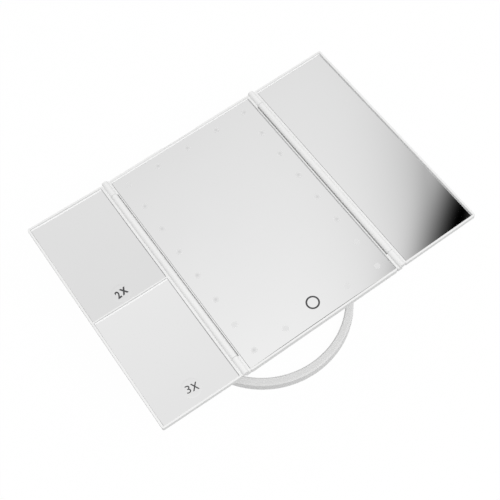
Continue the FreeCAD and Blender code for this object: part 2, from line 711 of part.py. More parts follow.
def make_socket():
    """Micro-USB socket under the edge of the control board, open through the cover."""
    socket = Moulding("usb_socket", ("0", f"-{SOCKET_EDGE}", "dims.mirror_height"))
    low = f"-({BOARD_BACK} + dims.socket_height)"
    shell = socket.sketch("shell", "XZ")
    draw_rounded(shell, "-dims.socket_width / 2", low, "dims.socket_width / 2", f"-{BOARD_BACK}",
                 "dims.socket_wall")
    socket.pad(shell, "dims.socket_depth", reverse=True)
    mouth = socket.sketch("mouth", "XZ")
    draw_rectangle(mouth, "-dims.socket_width / 2 + dims.socket_wall", f"{low} + dims.socket_wall",
                   "dims.socket_width / 2 - dims.socket_wall", f"-({BOARD_BACK} + dims.socket_wall)")
    socket.pocket(mouth, "dims.socket_depth - dims.socket_wall")
    tongue = socket.sketch("tongue", "XZ")
    draw_rectangle(tongue, "-dims.socket_width / 4", f"{low} + dims.socket_height / 2",
                   "dims.socket_width / 4", f"{low} + dims.socket_height / 2 + 2 * dims.socket_wall")
    socket.pad(tongue, "dims.socket_depth - dims.socket_wall", reverse=True)


CHEEK_IN = "(dims.arm_top_width / 2 + dims.washer_thickness + 2 * dims.face_gap)"
CHEEK_OUT = f"({CHEEK_IN} + dims.cheek_thickness)"


def make_tilt_bracket():
    bracket = Moulding("tilt_bracket", PANEL)
    plate = bracket.sketch("plate", offset=f"-{COVER_BACK}")
    draw_rounded(plate, "-dims.bracket_width / 2", "-dims.bracket_length / 2",
                 "dims.bracket_width / 2", "dims.bracket_length / 2", "dims.cheek_thickness")
    bracket.pad(plate, "dims.bracket_thickness", reverse=True)
    cheek = bracket.sketch("cheek", "YZ")
    draw_polygon(cheek, [("-dims.bracket_length / 2 + dims.cheek_thickness", f"-{COVER_BACK}"),
                         ("-dims.cheek_radius", f"-{AXIS_LEVEL}"), ("dims.cheek_radius", f"-{AXIS_LEVEL}"),
                         ("dims.bracket_length / 2 - dims.cheek_thickness", f"-{COVER_BACK}")])
    bracket.pad(cheek, f"2 * {CHEEK_OUT}", middle=True)
    eye = bracket.sketch("eye", "YZ")
    draw_circle(eye, "0", f"-{AXIS_LEVEL}", "2 * dims.cheek_radius")
    bracket.pad(eye, f"2 * {CHEEK_OUT}", middle=True)
    gap = bracket.sketch("gap", "YZ")
    draw_rectangle(gap, "-dims.bracket_length / 2", f"-({AXIS_LEVEL} + 2 * dims.cheek_radius)",
                   "dims.bracket_length / 2", f"-{BRACKET_FACE}")
    bracket.pocket(gap, f"2 * {CHEEK_IN}", middle=True)
    bore = bracket.sketch("bore", "YZ")
    draw_circle(bore, "0", f"-{AXIS_LEVEL}", "dims.axle_diameter + 2 * dims.running_fit")
    bracket.pocket(bore, f"2 * {CHEEK_OUT}", middle=True)
    holes = bracket.sketch("holes", offset=f"-{COVER_BACK}")
    for x in both("dims.bracket_screw_x"):
        draw_circle(holes, x, "0", "dims.bracket_screw_diameter + 2 * dims.running_fit")
    bracket.pocket(holes, "dims.bracket_thickness")


def make_bracket_screws():
    screws = [make_screw(f"bracket_screw_{index}", panel_point(x, "0", BRACKET_FACE), "z",
                         "dims.bracket_screw_diameter",
                         "dims.bracket_screw_length - dims.door_gap",
                         "dims.bracket_screw_head", "dims.bracket_screw_head / 2 - dims.door_gap")
              for index, x in enumerate(both("dims.bracket_screw_x"))]
    gather("bracket_screws", screws)


def make_tilt_axle():
    """Headed axle through the bracket's cheeks and the arm's knuckle, with its nut."""
    head = make_rod("axle_head", panel_point(f"-{CHEEK_OUT}", "0", AXIS_LEVEL), "-x",
                    "dims.axle_head_diameter", "dims.axle_head_height")
    shank = make_rod("axle_shank", panel_point(f"-{CHEEK_OUT}", "0", AXIS_LEVEL), "x",
                     "dims.axle_diameter", f"2 * {CHEEK_OUT} + dims.nut_height + dims.axle_end")
    axle = keep(doc.addObject("Part::Fuse", "tilt_axle"), "tilt_axle")
    axle.Base = shank
    axle.Tool = head
    blank = make_rod("nut_blank", panel_point(CHEEK_OUT, "0", AXIS_LEVEL), "x",
                     "dims.nut_width", "dims.nut_height", hexagon=True)
    hole = make_rod("nut_hole", panel_point(CHEEK_OUT, "0", AXIS_LEVEL), "x",
                    "dims.axle_diameter + 2 * dims.running_fit", "dims.nut_height")
    nut = keep(doc.addObject("Part::Cut", "axle_nut"), "axle_nut")
    nut.Base = blank
    nut.Tool = hole


def make_washers():
    washers = []
    for index, (way, side) in enumerate((("-x", -1), ("x", 1))):
        start = panel_point(f"{side} * (dims.arm_top_width / 2 + dims.face_gap)", "0", AXIS_LEVEL)
        disc = make_rod(f"washer_disc_{index}", start, way, "dims.washer_diameter", "dims.washer_thickness")
        hole = make_rod(f"washer_hole_{index}", start, way, "dims.axle_diameter + 2 * dims.running_fit",
                        "dims.washer_thickness")
        washer = doc.addObject("Part::Cut", f"washer_{index}")
        washer.Base = disc
        washer.Tool = hole
        washers.append(washer)
    gather("friction_washers", washers)


def make_hinge_pins():
    pins = []
    level = "(-dims.hinge_lift)"
    for x in both(HINGE_X):
        pins.append(make_rod(f"hinge_pin_{len(pins)}",
                             panel_point(x, "(dims.centre_half_length - dims.pin_inset)", level),
                             "-y", "dims.pin_diameter", "dims.pin_length"))
        pins.append(make_rod(f"hinge_pin_{len(pins)}",
                             panel_point(x, "(dims.pin_inset - dims.centre_half_length)", level),
                             "y", "dims.pin_diameter", "dims.pin_length"))
    gather("hinge_pins", pins)


WING_FACE = "dims.hinge_lift"
SEAT_NEAR = "(dims.wing_inner + dims.wing_inner_lip)"
WING_REACH = f"({HINGE_X} - dims.fold_gap)"
WING_END = "(dims.centre_half_length - dims.wing_end_gap)"
SEAT_FAR = f"({WING_REACH} - dims.wing_outer_lip)"
SEAT_END = f"({WING_END} - dims.wing_end_lip)"
DIVIDER_TOP = "(dims.divider_width / 2 - dims.divider_drop)"
DIVIDER_LOW = "(-dims.divider_width / 2 - dims.divider_drop)"


def wing_place(side):
    """A wing's own frame: origin on its hinge axis, turned by how far it stands from flat."""
    at = (f"{side} * {HINGE_X}", "0", "dims.mirror_height + dims.hinge_lift")
    fold = {-1: "dims.left_fold", 1: "-dims.right_fold"}[side]
    return {"at": at, "turn_axis": "y", "turn": fold}


def span(side, near, far):
    """The lower and upper X of a stretch that runs outward from a hinge."""
    return (near, far) if side > 0 else (f"-{far}", f"-{near}")


def make_wing_frame(side, label, seats, seat_depth):
    wing = Moulding(label, **wing_place(side))
    outline = wing.sketch("outline", offset=f"-{WING_FACE}")
    left, right = span(side, "dims.wing_inner", WING_REACH)
    draw_rounded(outline, left, f"-{WING_END}", right, WING_END, "dims.wing_corner")
    wing.pad(outline, "dims.wing_depth", reverse=True)
    web = wing.sketch("web", "XZ")
    left, right = span(side, "0", "(dims.wing_inner + dims.wing_inner_lip / 2)")
    draw_rectangle(web, left, "-dims.barrel_radius", right, f"-{WING_FACE}")
    wing.pad(web, f"2 * {BARREL_END}", middle=True)
    barrel = wing.sketch("barrel", "XZ")
    draw_circle(barrel, "0", "0", "2 * dims.barrel_radius")
    wing.pad(barrel, f"2 * {BARREL_END}", middle=True)
    bore = wing.sketch("bore", "XZ")
    draw_circle(bore, "0", "0", "dims.pin_diameter + 2 * dims.running_fit")
    wing.pocket(bore, f"2 * {BARREL_END}", middle=True)
    seat = wing.sketch("seat", offset=f"-{WING_FACE}")
    left, right = span(side, SEAT_NEAR, SEAT_FAR)
    for low, high in seats:
        draw_rectangle(seat, left, low, right, high)
    wing.pocket(seat, seat_depth)


def make_plain_wing(side=1):
    depth = "(dims.recess + dims.glass_thickness + dims.plain_tape)"
    make_wing_frame(side, "right_wing_frame", [(f"-{SEAT_END}", SEAT_END)], depth)
    left, right = span(side, f"({SEAT_NEAR} + dims.glass_clearance)", f"({SEAT_FAR} - dims.glass_clearance)")
    end = f"({SEAT_END} - dims.glass_clearance)"
    sheets = {"right_mirror": ("dims.recess", "dims.glass_thickness"),
              "right_tape": ("(dims.recess + dims.glass_thickness)", "dims.plain_tape")}
    for label, (level, thickness) in sheets.items():
        sheet = Moulding(label, **wing_place(side))
        outline = sheet.sketch("outline", offset=f"-({WING_FACE} + {level})")
        draw_rectangle(outline, left, f"-{end}", right, end)
        sheet.pad(outline, thickness, reverse=True)


def make_lens(side, label, low, high, power):
    """A bent mirror of even thickness, ground to a sphere that magnifies as its power says.

    Its back rests on a pad on the wing's floor, which sets how deep it lies.
    """
    half_x = f"(({SEAT_FAR} - {SEAT_NEAR}) / 2 - dims.glass_clearance)"
    half_y = f"(({high} - {low}) / 2 - dims.glass_clearance)"
    middle_x = f"({side} * ({SEAT_FAR} + {SEAT_NEAR}) / 2)"
    middle_y = f"(({high} + {low}) / 2)"
    radius = f"(2 * dims.viewing_distance * {power} / ({power} - 1))"
    floor = f"({WING_FACE} + dims.wing_depth - dims.wing_floor)"
    pad_top = f"({floor} - dims.{label}_pad_height)"
    height = f"({radius} + dims.lens_thickness + dims.lens_pad_gap - {pad_top})"
    balls = []
    for name, extra in (("face", "0"), ("back", "dims.lens_thickness")):
        ball = doc.addObject("Part::Sphere", f"{label}_{name}")
        ball.setExpression("Radius", f"{radius} + {extra}")
        ball.Placement = FreeCAD.Placement(vector(0, 0), FreeCAD.Rotation(AXES["x"], 90))
        for letter, text in zip("xyz", (middle_x, middle_y, height)):
            ball.setExpression(f"Placement.Base.{letter}", text)
        balls.append(ball)
    shell = doc.addObject("Part::Cut", f"{label}_shell")
    shell.Base = balls[1]
    shell.Tool = balls[0]
    blank = doc.addObject("Part::Box", f"{label}_blank")
    blank.setExpression("Length", f"2 * {half_x}")
    blank.setExpression("Width", f"2 * {half_y}")
    blank.setExpression("Height", "dims.wing_depth")
    blank.setExpression("Placement.Base.x", f"{middle_x} - {half_x}")
    blank.setExpression("Placement.Base.y", f"{middle_y} - {half_y}")
    blank.setExpression("Placement.Base.z", f"-{WING_FACE} - dims.wing_depth")
    lens = keep(doc.addObject("Part::Common", label), label)
    lens.Base = blank
    lens.Tool = shell
    place(lens, **wing_place(side))
    pad = Moulding(f"{label}_pad", **wing_place(side))
    outline = pad.sketch("outline", offset=f"-{floor}")
    half = "dims.lens_pad_width / 2"
    draw_rectangle(outline, f"{middle_x} - {half}", f"{middle_y} - {half}",
                   f"{middle_x} + {half}", f"{middle_y} + {half}")
    pad.pad(outline, f"dims.{label}_pad_height")


def make_lens_wing(side=-1):
    seats = [(DIVIDER_TOP, SEAT_END), (f"-{SEAT_END}", DIVIDER_LOW)]
    make_wing_frame(side, "left_wing_frame", seats, "dims.wing_depth - dims.wing_floor")
    make_lens(side, "lens_2x", DIVIDER_TOP, SEAT_END, 2)
    make_lens(side, "lens_3x", f"(-{SEAT_END})", DIVIDER_LOW, 3)


def arm_path(sketch):
    """Upright line, bend and slanting line from the ring's plinth to the tilt axis."""
    foot = (number("dims.ring_radius"), number(ARM_FOOT))
    end = (number("dims.ring_advance"), number(AXIS_HEIGHT))
    rise = number("dims.arm_rise")
    bend = number("dims.arm_bend")
    centre = (foot[0] - bend, foot[1] + rise)
    away = math.hypot(end[0] - centre[0], end[1] - centre[1])
    turn = math.atan2(end[1] - centre[1], end[0] - centre[0]) - math.acos(bend / away)
    leave = (centre[0] + bend * math.cos(turn), centre[1] + bend * math.sin(turn))
    sketch.addGeometry(Part.LineSegment(vector(*foot), vector(foot[0], foot[1] + rise)), False)
    circle = Part.Circle(vector(*centre), vector(0, 0, 1), bend)
    sketch.addGeometry(Part.ArcOfCircle(circle, 0, turn), False)
    sketch.addGeometry(Part.LineSegment(vector(*leave), vector(*end)), False)
    sketch.addConstraint(Sketcher.Constraint("Tangent", 0, 2, 1, 1))
    sketch.addConstraint(Sketcher.Constraint("Tangent", 1, 2, 2, 1))
    sketch.addConstraint(Sketcher.Constraint("Vertical", 0))
    bind(sketch, "DistanceX", 0, 1, "dims.ring_radius")
    bind(sketch, "DistanceY", 0, 1, ARM_FOOT)
    bind(sketch, "DistanceY", 0, 2, f"{ARM_FOOT} + dims.arm_rise")
    bind(sketch, "DistanceX", 2, 2, "dims.ring_advance")
    bind(sketch, "DistanceY", 2, 2, AXIS_HEIGHT)
    held = sketch.addConstraint(Sketcher.Constraint("Radius", 1, bend))
    sketch.renameConstraint(held, "bend")
    sketch.setExpression("Constraints.bend", "dims.arm_bend")


def make_arm():
    """Swept arm, tapered in width from its foot to the knuckle that carries the mirror."""
    arm = Moulding("arm", STAND)
    path = arm.sketch("path", "YZ")
    arm_path(path)
    section = arm.sketch("section", offset=ARM_FOOT)
    half = "dims.arm_thickness / 2"
    draw_bevelled(section, "-dims.arm_width / 2", f"dims.ring_radius - {half}",
                  "dims.arm_width / 2", f"dims.ring_radius + {half}", "dims.arm_edge")
    doc.recompute()
    sweep = arm.body.newObject("PartDesign::AdditivePipe", "arm_sweep")
    sweep.Profile = section
    sweep.Spine = (path, ["Edge1", "Edge2", "Edge3"])
    arm.finish(sweep, True)
    taper = arm.sketch("taper", "XZ")
    for side in (-1, 1):
        draw_polygon(taper, [(f"{side} * dims.arm_width / 2", f"{ARM_FOOT} + dims.arm_rise"),
                             (f"{side} * dims.arm_top_width / 2", f"{AXIS_HEIGHT} - dims.arm_knuckle"),
                             (f"{side} * dims.arm_top_width / 2", f"{AXIS_HEIGHT} + 2 * dims.arm_knuckle"),
                             (f"{side} * dims.arm_width", f"{AXIS_HEIGHT} + 2 * dims.arm_knuckle"),
                             (f"{side} * dims.arm_width", f"{ARM_FOOT} + dims.arm_rise")])
    arm.pocket(taper, "2 * (dims.ring_radius + dims.arm_thickness)", middle=True)
    knuckle = arm.sketch("knuckle", "YZ")
    draw_circle(knuckle, "dims.ring_advance", AXIS_HEIGHT, "2 * dims.arm_knuckle")
    arm.pad(knuckle, "dims.arm_top_width", middle=True)
    bore = arm.sketch("bore", "YZ")
    draw_circle(bore, "dims.ring_advance", AXIS_HEIGHT, "dims.axle_diameter + 2 * dims.running_fit")
    arm.pocket(bore, "2 * dims.arm_width", middle=True)
    holes = arm.sketch("screw_holes", offset=ARM_FOOT)
    for x in both("dims.arm_screw_offset"):
        draw_circle(holes, x, "dims.ring_radius", "dims.arm_screw_diameter + 2 * dims.running_fit")
    arm.pocket(holes, "dims.arm_screw_grip", reverse=True)


def make_arm_screws():
    seat = "(dims.foot_height + dims.arm_screw_sink)"
    length = f"{ARM_FOOT} - {seat} + dims.arm_screw_grip - dims.door_gap"
    screws = [make_screw(f"arm_screw_{index}", stand_point(x, "dims.ring_radius", seat), "z",
                         "dims.arm_screw_diameter", length, "dims.arm_screw_head",
                         "dims.arm_screw_sink - dims.door_gap")
              for index, x in enumerate(both("dims.arm_screw_offset"))]
    gather("arm_screws", screws)


CHANNEL_SPAN = "(360 deg - 2 * asin((dims.plinth_width / 2 + dims.channel_end) / dims.ring_radius))"


def band(left, right):
    """Y of the two sides of something in the ring's band, at the front of the ring."""
    return (f"-dims.ring_radius - {left}", f"-dims.ring_radius + {right}")


def make_ring_base():
    ring = Moulding("ring_base", STAND)
    section = ring.sketch("section", "YZ")
    outer, inner = band("dims.ring_width / 2", "dims.ring_width / 2")
    shoulder = f"({RING_TOP} - dims.ring_edge)"
    draw_polygon(section, [
        (outer, "dims.foot_height"), (outer, shoulder), (f"{outer} + dims.ring_edge", RING_TOP),
        (f"{inner} - dims.ring_edge", RING_TOP), (inner, shoulder), (inner, "dims.foot_height")])
    ring.revolve(section)
    channel = ring.sketch("channel", "YZ")
    outer, inner = band("dims.channel_width / 2", "dims.channel_width / 2")
    draw_rectangle(channel, outer, "0", inner, "dims.foot_height + dims.channel_depth")
    groove = ring.body.newObject("PartDesign::Groove", "ring_channel")
    groove.Profile = channel
    groove.ReferenceAxis = (channel, ["V_Axis"])
    groove.Angle = 360.0
    ring.finish(groove, False)
    plinth = ring.sketch("plinth", offset="dims.foot_height")
    half_y = "dims.plinth_depth / 2"
    draw_rounded(plinth, "-dims.plinth_width / 2", f"dims.ring_radius - {half_y}",
                 "dims.plinth_width / 2", f"dims.ring_radius + {half_y}", "dims.plinth_depth / 3")
    ring.pad(plinth, "dims.ring_height + dims.plinth_rise")
    holes = ring.sketch("screw_holes", offset="dims.foot_height")
    for x in both("dims.arm_screw_offset"):
        draw_circle(holes, x, "dims.ring_radius", "dims.arm_screw_diameter + 2 * dims.running_fit")
    ring.pocket(holes, reverse=True)
    sinks = ring.sketch("head_sinks", offset="dims.foot_height")
    for x in both("dims.arm_screw_offset"):
        draw_circle(sinks, x, "dims.ring_radius", "dims.arm_screw_head + 2 * dims.door_gap")
    ring.pocket(sinks, "dims.arm_screw_sink", reverse=True)


def make_ring_fillings():
    """Steel weight in the ring's channel, and the sole that closes it: both stop at the plinth."""
    weight = Moulding("ring_weight", STAND)
    section = weight.sketch("section", "YZ")
    side = "(dims.channel_width / 2 - dims.weight_clearance)"
    outer, inner = band(side, side)
    top = "(dims.foot_height + dims.channel_depth - dims.weight_clearance)"
    draw_rectangle(section, outer, f"{top} - dims.weight_height", inner, top)
    weight.revolve(section, middle=True, bound=CHANNEL_SPAN)
    sole = Moulding("ring_sole", STAND)
    section = sole.sketch("section", "YZ")
    side = "(dims.channel_width / 2 - dims.running_fit)"
    outer, inner = band(side, side)
    draw_rectangle(section, outer, "dims.foot_height", inner, "dims.foot_height + dims.sole_thickness")
    sole.revolve(section, middle=True, bound=CHANNEL_SPAN)


def foot_spots():
    count = round(number("dims.foot_count"))
    turns = [360 * (index + 0.5) / count - 90 for index in range(count)]
    return [(f"dims.ring_radius * cos({turn} deg)", f"dims.ring_radius * sin({turn} deg)") for turn in turns]


def make_feet():
    feet = [make_rod(f"foot_{index}", stand_point(x, y, "0"), "z", "dims.foot_diameter", "dims.foot_height")
            for index, (x, y) in enumerate(foot_spots())]
    gather("feet", feet)


def main():
    make_centre_frame()
    make_centre_glass()
    make_light_boards()
    make_sensor()
    make_rear_cover()
    make_battery_door()
    make_cells()
    make_contacts()
    make_control_board()
    make_socket()
    make_tilt_bracket()
    make_bracket_screws()
    make_tilt_axle()
    make_washers()
    make_hinge_pins()
    make_plain_wing()
    make_lens_wing()
    make_arm()
    make_arm_screws()
    make_ring_base()
    make_ring_fillings()
    make_feet()
    doc.recompute()
    for item in doc.Objects:
        if "Invalid" in item.State or "Error" in item.State:
            raise ValueError(f"{item.Name} failed: {item.State}")
    os.makedirs("parts", exist_ok=True)
    for piece in pieces:
        if piece.Shape.isNull() or not piece.Shape.isValid():
            raise ValueError(f"{piece.Label} has no valid shape")
        piece.Shape.exportStep(f"parts/{piece.Label}.step")
        print(f"{piece.Label}: {len(piece.Shape.Solids)} solids, {piece.Shape.Volume:.0f} mm3")


main()
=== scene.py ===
import json
import math

import bmesh
import bpy
from mathutils import Euler, Matrix, Vector
from mathutils.bvhtree import BVHTree


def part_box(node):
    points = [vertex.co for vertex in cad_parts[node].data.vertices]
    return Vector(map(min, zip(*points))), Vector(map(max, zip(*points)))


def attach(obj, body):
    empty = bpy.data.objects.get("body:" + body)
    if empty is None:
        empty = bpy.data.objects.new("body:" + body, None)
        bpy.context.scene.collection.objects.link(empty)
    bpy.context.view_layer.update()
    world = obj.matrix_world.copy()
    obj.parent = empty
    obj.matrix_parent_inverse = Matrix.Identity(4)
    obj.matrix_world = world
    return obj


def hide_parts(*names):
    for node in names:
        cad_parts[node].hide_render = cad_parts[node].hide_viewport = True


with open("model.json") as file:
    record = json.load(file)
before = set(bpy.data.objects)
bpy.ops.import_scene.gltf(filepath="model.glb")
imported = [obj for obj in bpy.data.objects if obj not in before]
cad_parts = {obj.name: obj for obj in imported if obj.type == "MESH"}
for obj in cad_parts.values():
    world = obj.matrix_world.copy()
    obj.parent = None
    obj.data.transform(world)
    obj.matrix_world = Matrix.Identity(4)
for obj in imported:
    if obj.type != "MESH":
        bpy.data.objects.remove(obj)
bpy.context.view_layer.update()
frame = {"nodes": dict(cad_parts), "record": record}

# Trifold vanity mirror. Metres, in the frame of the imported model: +Z up, the user on the -Y side.
MM = 0.001
nodes = frame["nodes"]
scene = bpy.context.scene


# ---------------------------------------------------------------- named values: camera and light

CAMERA_PLACE = (-0.2138, -0.4166, 1.0527)
CAMERA_TURN = (26.680, 4.120, -34.957)      # degrees
CAMERA_LENS = 70.78                         # millimetres, on a sensor of the width below
CAMERA_SENSOR = 36.0
CAMERA_REACH = 50.0

LAMP_PLACE = (0.075, -1.5, 2.85)
LAMP_TARGET = (0, 0, 0.15)
LAMP_SIZE = 1.5
LAMP_POWER = 39.5

FLOOR_SIZE = 60
FLOOR_COLOUR = (0.34, 0.34, 0.34, 1)
FLOOR_GLOW = 1.058                          # how bright the floor looks where it is seen as white
FLOOR_SEEN = 0.92                           # the share of that white that the camera sees,
FLOOR_REFLECTED = 0.80                      # and the share that gloss and glass see

# Directions are given by their X and Y. The grade is brightest at GRADE_MIDDLE along Y.
GRADE_MIDDLE = 0.20
GRADE_REACH = 0.33
GRADE_BRIGHTEST = 0.9915
GRADE_DARKEST = 0.7925
SCREEN = {"centre": (0.364, 0.295), "reach": (0.033, 0.181), "turn": -0.957, "power": 2.583, "depth": 1.0}
MARGIN = {"centre": (0.371, 0.358), "reach": (0.042, 0.201), "turn": -0.599, "power": 1.078, "depth": 0.427}
FILL_SLOPE = (0.04, 0.08, 0)                # matt surfaces get a little more light from +X and +Y
FILL_LEVEL = 0.65


# ---------------------------------------------------------------- named values: panes of glass

LEFT_TURN = math.radians(2.5)               # how far the wings stand from flat at rest
RIGHT_TURN = math.radians(-0.6)
GLASS_THICKNESS = 2.0 * MM
LENS_THICKNESS = 1.2 * MM
GLASS_BEVEL = 0.9 * MM                      # width of the bevel along the edge toward +Y
LENS_BEVEL = 1.3 * MM
GLASS_GROWTH = 0.22 * MM                    # the flat panes go this far into the CAD's gap round them
LENS_RADII = {"lens_2x": 1720.0 * MM, "lens_3x": 1290.0 * MM}
LENS_COLUMNS = 24
LENS_ROWS = 36

SILVER_DEPTH = 0.8 * MM                     # how far below the face of the glass the silver seems to lie
EDGE_INSET = 0.06 * MM
HAIR = 0.02 * MM
CENTRE_SHADE_STRIPS = (0.62 * MM, 0.77 * MM)        # dark strips toward -X and -Y round the silver, painted shade for the shade along those edges
RIGHT_SHADE_STRIPS = (1.03 * MM, HAIR)
CENTRE_COLUMNS = 16
CENTRE_BOW = 0.46 * MM                      # how much wider the strip toward -Y is where it bows most,
BOW_MIDDLE = 0.45                           # where along the edge that is, as a share of it,
BOW_REACH = 0.42                            # and how far to each side the strip is wider

# Which material of a pane a face has: the silver comes first, and GLASS_EDGES give the other three.
GROUND = 1
# painted highlight: the ground edge toward +Y is painted lighter than the other edges
GROUND_PAINTED_HIGHLIGHT = 2
# painted shade: dark strips round the silver toward -X and -Y
PAINTED_SHADE_STRIP = 3


# ---------------------------------------------------------------- named values: marks on the glass

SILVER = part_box("centre_glass")[1].z - SILVER_DEPTH
STANDS_PROUD = 0.01 * MM
MARK_PROUD = 6 * STANDS_PROUD
FILM_PROUD = 3 * STANDS_PROUD
FILM_RIM_PROUD = 0.5 * STANDS_PROUD

LIGHT_X = 73.0 * MM
LIGHT_Y = 113.0 * MM
LIGHT_ROWS = 8
OFF_LIGHTS = Vector((0.6, 0.6, 0)) * MM     # the etching lies this far off the lights
UNLIT_CHIP_WINDOWS = (0, 12, 13, 15, 17, 20)      # windows in which no chip shows: painted light, as the chip shows only where light falls on it
WINDOW_RADIUS = 3.45 * MM
WINDOW_RINGS = (0.02, 0.2, 0.4, 0.6, 0.8, 0.97, 1.0)

# Grey of a window, and how far it is silvered, from its middle (0) to its rim (1).
PLAIN_GREYS = ((0.0, 0.76), (0.8, 0.77), (1.0, 0.93))
CHIP_GREYS = ((0.0, 0.655), (0.25, 0.67), (0.5, 0.75), (0.8, 0.77), (1.0, 0.93))
WINDOW_SILVERING = ((0.0, 0.06), (0.8, 0.12), (1.0, 1.0))

KEY_CENTRE = Vector((0.6 * MM, -106.2 * MM, SILVER))
KEY_RADIUS = 6.97 * MM
KEY_LINE = 1.72 * MM
KEY_SLOPE = 0.04 * MM
KEY_SIDES = 64

FILM_RADIUS = 10 * MM
FILM_HEART = 0.05 * MM                      # radius of the innermost face
FILM_RINGS = (0.25, 0.5, 0.75, 0.96, 1.0)
FILM_SIDES = 48
FILM_GREYS = ((0.894, 0.894, 0.894), (0.898, 0.898, 0.898))

# Each numeral: the turn of its characters, and for each one its middle, size and added weight.
CROSS = (6.8 * MM, 7.9 * MM)
NUMERALS = {
    "2x": (math.radians(4), (("2", (-146.5 * MM, 12.4 * MM), (4.5 * MM, 8.7 * MM), 0.028),
                             ("X", (-139.75 * MM, 12.9 * MM), CROSS, 0.062))),
    "3x": (math.radians(-8.5), (("3", (-144.1 * MM, -108.3 * MM), (4.5 * MM, 7.9 * MM), 0.0),
                                ("X", (-137.45 * MM, -109.45 * MM), CROSS, 0.018))),
}


# ---------------------------------------------------------------- named values: mouldings

MOULDINGS = (("centre_frame", "mirror", "white_shell"),
             ("rear_cover", "mirror", "white_shell"),
             ("battery_door", "battery_door", "white_shell"),
             ("tilt_bracket", "mirror", "bracket_plastic"),
             ("left_wing_frame", "left_wing", "white_wing"),
             ("right_wing_frame", "right_wing", "white_wing"),
             ("arm", "stand", "white_shell"),
             ("ring_base", "stand", "white_shell"))
SOFT_EDGE = 0.3 * MM
SOFT_SEGMENTS = 2
SOFT_ANGLE = math.radians(40)               # edges sharper than this are softened
FLAT_ANGLE = math.radians(1)                # and faces flatter than this are joined before
SHARP_ANGLE = math.radians(35)              # edges that shade sharp
WELD = 1e-6


# ---------------------------------------------------------------- shader helpers

NOISE_LOW = 0.3                             # a noise's values lie mostly between these two
NOISE_HIGH = 0.7


class Shader:
    """A node material built line by line around one Principled BSDF."""

    def __init__(self, name):
        self.material = bpy.data.materials.new(name)
        self.material.use_nodes = True
        self.tree = self.material.node_tree
        self.tree.nodes.clear()
        self.out = self.add("ShaderNodeOutputMaterial")
        self.bsdf = self.add("ShaderNodeBsdfPrincipled")
        self.link(self.bsdf.outputs["BSDF"], self.out.inputs["Surface"])
        self.coordinates = self.add("ShaderNodeTexCoord").outputs["Object"]

    def add(self, kind, **values):
        node = self.tree.nodes.new(kind)
        for name, value in values.items():
            setattr(node, name, value)
        return node

    def link(self, start, end):
        self.tree.links.new(start, end)

    def feed(self, name, value):
        """Link a value to one of the BSDF's inputs."""
        self.link(value, self.bsdf.inputs[name])

    def set(self, **values):
        for name, value in values.items():
            self.bsdf.inputs[name.replace("_", " ")].default_value = value

    def noise(self, size, detail=3.0, stretch=(1, 1, 1)):
        """Noise whose features are about size metres wide."""
        mapping = self.add("ShaderNodeMapping")
        mapping.inputs["Scale"].default_value = [axis / size for axis in stretch]
        self.link(self.coordinates, mapping.inputs["Vector"])
        noise = self.add("ShaderNodeTexNoise")
        noise.inputs["Scale"].default_value = 1.0
        noise.inputs["Detail"].default_value = detail
        self.link(mapping.outputs["Vector"], noise.inputs["Vector"])
        return noise.outputs["Fac"]

    def ramp(self, factor, stops):
        """Colours by the factor; the stops come in order, as (place, colour)."""
        ramp = self.add("ShaderNodeValToRGB")
        band = ramp.color_ramp
        for index, (place, colour) in enumerate(stops):
            stop = band.elements[index] if index < 2 else band.elements.new(place)
            stop.position = place
            stop.color = (*colour, 1.0)
        self.link(factor, ramp.inputs["Fac"])
        return ramp.outputs["Color"]

    def spread(self, factor, low, high):
        """The middle range of a noise stretched to low..high."""
        node = self.add("ShaderNodeMapRange")
        node.inputs["From Min"].default_value = NOISE_LOW
        node.inputs["From Max"].default_value = NOISE_HIGH
        node.inputs["To Min"].default_value = low
        node.inputs["To Max"].default_value = high
        self.link(factor, node.inputs["Value"])
        return node.outputs["Result"]

    def colour(self, noise, low, high):
        """A base colour that drifts with a noise from one colour to another."""
        self.feed("Base Color", self.ramp(noise, [(NOISE_LOW, low), (NOISE_HIGH, high)]))

    def roughness(self, noise, low, high):
        """A roughness that drifts with a noise from low to high."""
        self.feed("Roughness", self.spread(noise, low, high))

    def bump(self, height, distance, strength=1.0):
        node = self.add("ShaderNodeBump")
        node.inputs["Distance"].default_value = distance
        node.inputs["Strength"].default_value = strength
        self.link(height, node.inputs["Height"])
        self.feed("Normal", node.outputs["Normal"])


def tinted(colour, amount):
    """The colour made a little darker or lighter."""
    return tuple(min(1.0, channel * amount) for channel in colour)


# ---------------------------------------------------------------- materials

def plastic(name, colour, roughness, variation=0.012, grain=2.0 * MM, depth=0.0006 * MM):
    """Moulded plastic: a faint drift of tone, uneven gloss and a fine moulded skin."""
    shader = Shader(name)
    tone = shader.noise(size=60 * MM, detail=2.0)
    shader.colour(tone, low=tinted(colour, 1 - variation), high=tinted(colour, 1 + variation))
    gloss = shader.noise(size=7 * MM, detail=4.0)
    shader.roughness(gloss, low=roughness * 0.9, high=roughness * 1.1)
    shader.bump(shader.noise(size=grain, detail=2.0), depth)
    shader.set(IOR=1.46)
    return shader.material


def mirror(name, tint, roughness=0.012):
    """Silvered glass: a mirror with a trace of haze that drifts over it."""
    shader = Shader(name)
    shader.set(Metallic=1.0)
    haze = shader.noise(size=45 * MM, detail=3.0)
    shader.colour(haze, low=tinted(tint, 0.994), high=tint)
    shader.roughness(haze, low=roughness, high=roughness * 1.5)
    return shader.material


def metal(name, colour, roughness, brushed=(1, 1, 12)):
    """Turned or drawn metal with fine lines across its gloss."""
    shader = Shader(name)
    shader.set(Metallic=1.0)
    lines = shader.noise(size=1.2 * MM, detail=4.0, stretch=brushed)
    shader.colour(lines, low=tinted(colour, 0.88), high=tinted(colour, 1.06))
    shader.roughness(lines, low=roughness * 0.8, high=roughness * 1.25)
    shader.bump(lines, 0.01 * MM)
    return shader.material


